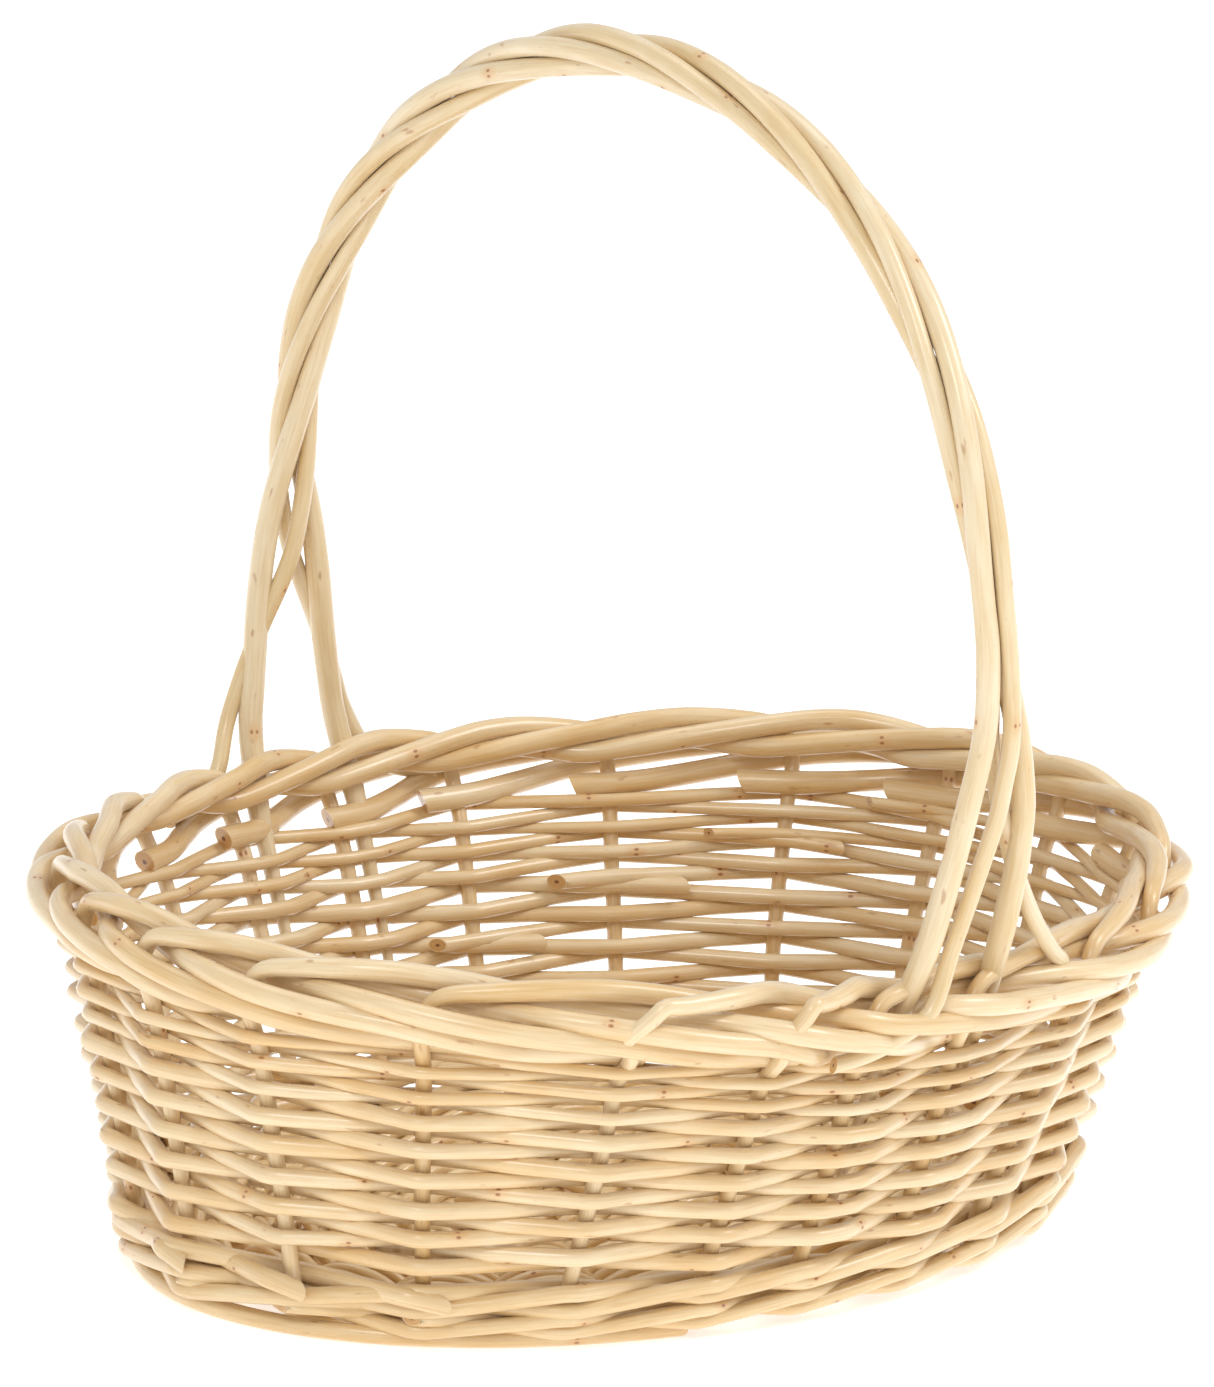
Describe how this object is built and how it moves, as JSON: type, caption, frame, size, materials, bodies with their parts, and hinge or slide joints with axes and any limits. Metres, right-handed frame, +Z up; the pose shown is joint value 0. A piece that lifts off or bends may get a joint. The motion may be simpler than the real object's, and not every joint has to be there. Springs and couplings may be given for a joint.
{
  "type": "woven market basket",
  "caption": "Oval basket of peeled willow rods with a flared woven wall, a plaited border, a slit-stick base and one fixed hoop handle of twisted rods.",
  "frame": {"origin": "middle of the base, on the ground", "axes": "+X along the oval's long axis, +Y across it in the handle's plane, +Z up"},
  "size_m": [0.41, 0.3468, 0.393],
  "materials": {
    "stakes": "satin",
    "siding": "satin",
    "wale": "satin",
    "base_sticks": "matte",
    "base_weaving": "satin",
    "handle": "satin"
  },
  "bodies": {
    "root": {"stake_1": "stakes", "stake_2": "stakes", "stake_3": "stakes", "stake_4": "stakes", "stake_5": "stakes", "stake_6": "stakes", "stake_7": "stakes", "stake_8": "stakes", "stake_9": "stakes", "stake_10": "stakes", "stake_11": "stakes", "stake_12": "stakes", "stake_13": "stakes", "stake_14": "stakes", "stake_15": "stakes", "stake_16": "stakes", "stake_17": "stakes", "stake_18": "stakes", "stake_19": "stakes", "stake_20": "stakes", "stake_21": "stakes", "stake_22": "stakes", "weaver_1": "siding", "weaver_2": "siding", "weaver_3": "siding", "weaver_4": "siding", "weaver_5": "siding", "weaver_6": "siding", "weaver_7": "siding", "weaver_8": "siding", "weaver_9": "siding", "weaver_10": "siding", "weaver_11": "siding", "weaver_12": "siding", "weaver_13": "siding", "weaver_14": "siding", "weaver_15": "siding", "weaver_16": "siding", "wale_rod_1": "wale", "wale_rod_2": "wale", "wale_rod_3": "wale", "foot_rod": "wale", "base_long_stick_1": "base_sticks", "base_long_stick_2": "base_sticks", "base_long_stick_3": "base_sticks", "base_cross_stick_1": "base_sticks", "base_cross_stick_2": "base_sticks", "base_cross_stick_3": "base_sticks", "base_cross_stick_4": "base_sticks", "base_cross_stick_5": "base_sticks", "base_cross_stick_6": "base_sticks", "base_cross_stick_7": "base_sticks", "base_cross_stick_8": "base_sticks", "base_weave_1": "base_weaving", "base_weave_2": "base_weaving", "base_weave_3": "base_weaving", "handle_rod_1": "handle", "handle_rod_2": "handle", "handle_rod_3": "handle", "handle_rod_4": "handle"}
  },
  "joints": []
}
